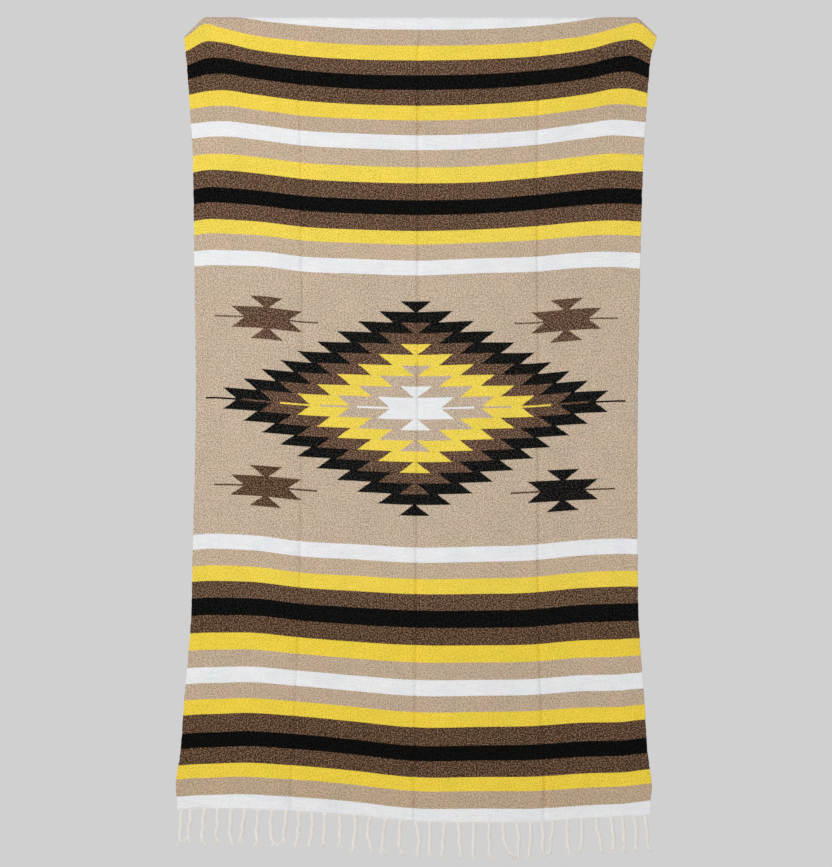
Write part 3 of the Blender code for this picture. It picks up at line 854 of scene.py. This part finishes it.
    # hues: each stitch its own, and each cloud its own
    stitchHue = addNode(tree, "VectorMath", (chance.outputs["Color"], (0.5, 0.5, 0.5)), operation="SUBTRACT")
    hueAmount = addNode(tree, "Math", (unevenness, weave["hueShare"]), operation="MULTIPLY")
    stitchTint = addNode(tree, "VectorMath", {0: stitchHue, "Scale": hueAmount}, operation="SCALE")
    cloudHue = addNode(tree, "VectorMath", (clouds.outputs["Color"], (0.5, 0.5, 0.5)), operation="SUBTRACT")
    cloudTint = addNode(tree, "VectorMath", {0: cloudHue, "Scale": weave["cloudHue"]}, operation="SCALE")
    tint = addNode(tree, "VectorMath", (stitchTint, cloudTint), operation="ADD")

    # a fleece mixes pale hairs with dark ones, so what makes a stitch lighter is greyer than its yarn
    grey = addNode(tree, "RGBToBW", (colour,))
    hairs = {0: weave["greyShare"], 6: colour, 7: grey}
    hairColour = addNode(tree, "Mix", hairs, data_type="RGBA").outputs[2]
    hairAmount = addNode(tree, "Math", (lighter, unevenness), operation="MULTIPLY")
    heather = addNode(tree, "VectorMath", {0: hairColour, "Scale": hairAmount}, operation="SCALE")

    # all of it: yarn * (painted gap shade - burr + cloud + streak + tint) + heather, and never below black
    unburred = addNode(tree, "Math", (paintedGapShading, burr), operation="SUBTRACT")
    clouded = addNode(tree, "Math", (unburred, cloud), operation="ADD")
    streaked = addNode(tree, "Math", (clouded, streak), operation="ADD")
    tinted = addNode(tree, "VectorMath", (tint, streaked), operation="ADD")
    shaded = addNode(tree, "VectorMath", (colour, tinted, heather), operation="MULTIPLY_ADD")
    surface = addNode(tree, "VectorMath", (shaded, (0.0, 0.0, 0.0)), operation="MAXIMUM")
    bump = addNode(tree, "Bump", {"Strength": 0.6, "Distance": weave["stitchRelief"], "Height": height})
    tree.links.new(surface.outputs[0], shader.inputs["Base Color"])
    tree.links.new(bump.outputs[0], shader.inputs["Normal"])
    return finish


def makeTwistedYarn():
    # undyed warp yarn, hard twisted: off-white, matt, with loose fibres that blur each ply
    look = {"Roughness": 0.9, "Specular IOR Level": 0.15, "Sheen Weight": 0.1}
    finish, tree, shader = newFinish("undyedWarpYarn", look)
    place = addNode(tree, "TexCoord").outputs["Object"]
    fibres = addNode(tree, "TexNoise", {"Vector": place, "Scale": 900.0, "Detail": 3.0, "Roughness": 0.6})
    tone = addNode(tree, "TexNoise", {"Vector": place, "Scale": 220.0, "Detail": 2.0})
    tones = {0: tone, 6: hexToLinear("e4ded7"), 7: hexToLinear("fbf7f2")}
    colour = addNode(tree, "Mix", tones, data_type="RGBA")
    bump = addNode(tree, "Bump", {"Strength": 0.5, "Distance": 0.0003, "Height": fibres})
    tree.links.new(colour.outputs[2], shader.inputs["Base Color"])
    tree.links.new(bump.outputs[0], shader.inputs["Normal"])
    return finish


def makeSandedPine():
    # softwood dowel, sanded and left bare: straight grain along the rod, rings on its ends
    finish, tree, shader = newFinish("sandedPine", {"Roughness": 0.55})
    place = addNode(tree, "TexCoord").outputs["Object"]
    offHeart = (0.0, 0.031, 0.017)  # the rod is cut from beside the tree's heart
    longGrain = (0.06, 1.0, 1.0)
    drawn = addNode(tree, "Mapping", {"Vector": place, "Location": offHeart, "Scale": longGrain})
    ringed = {"Vector": drawn, "Scale": 90.0, "Distortion": 2.5, "Detail": 2.0, "Detail Scale": 1.2}
    rings = addNode(tree, "TexWave", ringed, wave_type="RINGS", rings_direction="X")
    fibre = addNode(tree, "TexNoise", {"Vector": drawn, "Scale": 1400.0, "Detail": 3.0})
    grain = addNode(tree, "Math", (fibre, 0.35, rings.outputs["Fac"]), operation="MULTIPLY_ADD")
    ramp = addNode(tree, "ValToRGB", (grain,))
    ramp.color_ramp.elements[0].color = hexToLinear("b98f5f")
    ramp.color_ramp.elements[0].position = 0.1
    ramp.color_ramp.elements[1].color = hexToLinear("dcbd8e")
    bump = addNode(tree, "Bump", {"Strength": 0.3, "Distance": 0.0002, "Height": fibre})
    tree.links.new(ramp.outputs[0], shader.inputs["Base Color"])
    tree.links.new(bump.outputs[0], shader.inputs["Normal"])
    return finish


wool = makeWeftFacedWool()
yarn = makeTwistedYarn()
pine = makeSandedPine()
print("materials made")

roundRod = makeRod(pine)
wovenSerape = makeCloth(wool)
acrossAll = np.linspace(0, 1, 900)  # fine enough to follow the ends of the cloth
behindAll, hemAll = clothEnds(acrossAll)
hemFringe = makeFringe("hemFringe", "fringe_bottom", acrossAll, hemAll, strandBends, yarn)
backFringe = makeFringe("backFringe", "fringe_top", acrossAll, -behindAll, strandBends[::-1] / 2, yarn)

studio = {
    "backdrop": "d0d0d0",
    "cameraX": -0.0106, "cameraZ": -1.0902, "cameraAway": 5.2, "lens": 81.5,
    "aim": (0.0, 0.0, -1.0),  # of the lamps
    "lamps": (  # name, place, size, power
        ("key", (-1.6, -4.0, 0.1), 3.0, 80.0),
        ("fill", (2.0, 4.2, -0.4), 3.0, 60.0),
    ),
    "floor": "e4e4e4", "floorZ": -2.6, "floorRadius": 1.4,
}


def makeStudio():
    # a pale round floor, an even pale surround, a broad soft lamp from the upper left, and a weaker
    # one for the back
    world = bpy.data.worlds.new("studio")
    bpy.context.scene.world = world
    world.use_nodes = True
    world.node_tree.nodes["Background"].inputs["Color"].default_value = hexToLinear(studio["backdrop"])
    bpy.context.scene.view_settings.view_transform = "Standard"
    matt, _, _ = newFinish("paleFloor", {"Base Color": hexToLinear(studio["floor"]), "Roughness": 0.9})
    angle = np.linspace(0, 2 * math.pi, 96, endpoint=False)
    rim = np.stack([np.cos(angle), np.sin(angle), np.zeros(96)], axis=-1) * studio["floorRadius"]
    floor = addPiece("floor", rim + np.array([0.0, 0.0, studio["floorZ"]]), [list(range(96))], matt)
    for name, place, size, power in studio["lamps"]:
        lamp = bpy.data.lights.new(name, "AREA")
        lamp.shape = "DISK"
        lamp.size = size
        lamp.energy = power
        stand = bpy.data.objects.new(name, lamp)
        stand.location = place
        aim = np.array(studio["aim"]) - np.array(place)
        stand.rotation_euler = (math.atan2(np.hypot(aim[0], aim[1]), -aim[2]), 0.0, math.atan2(-aim[0], aim[1]))
        bpy.context.scene.collection.objects.link(stand)
    view = bpy.data.cameras.new("front")
    view.lens = studio["lens"]
    camera = bpy.data.objects.new("front", view)
    camera.location = (studio["cameraX"], -ridgeHeight - studio["cameraAway"], studio["cameraZ"])
    camera.rotation_euler = (math.pi / 2, 0.0, 0.0)
    bpy.context.scene.collection.objects.link(camera)
    bpy.context.scene.camera = camera
    print("studio set")


makeStudio()
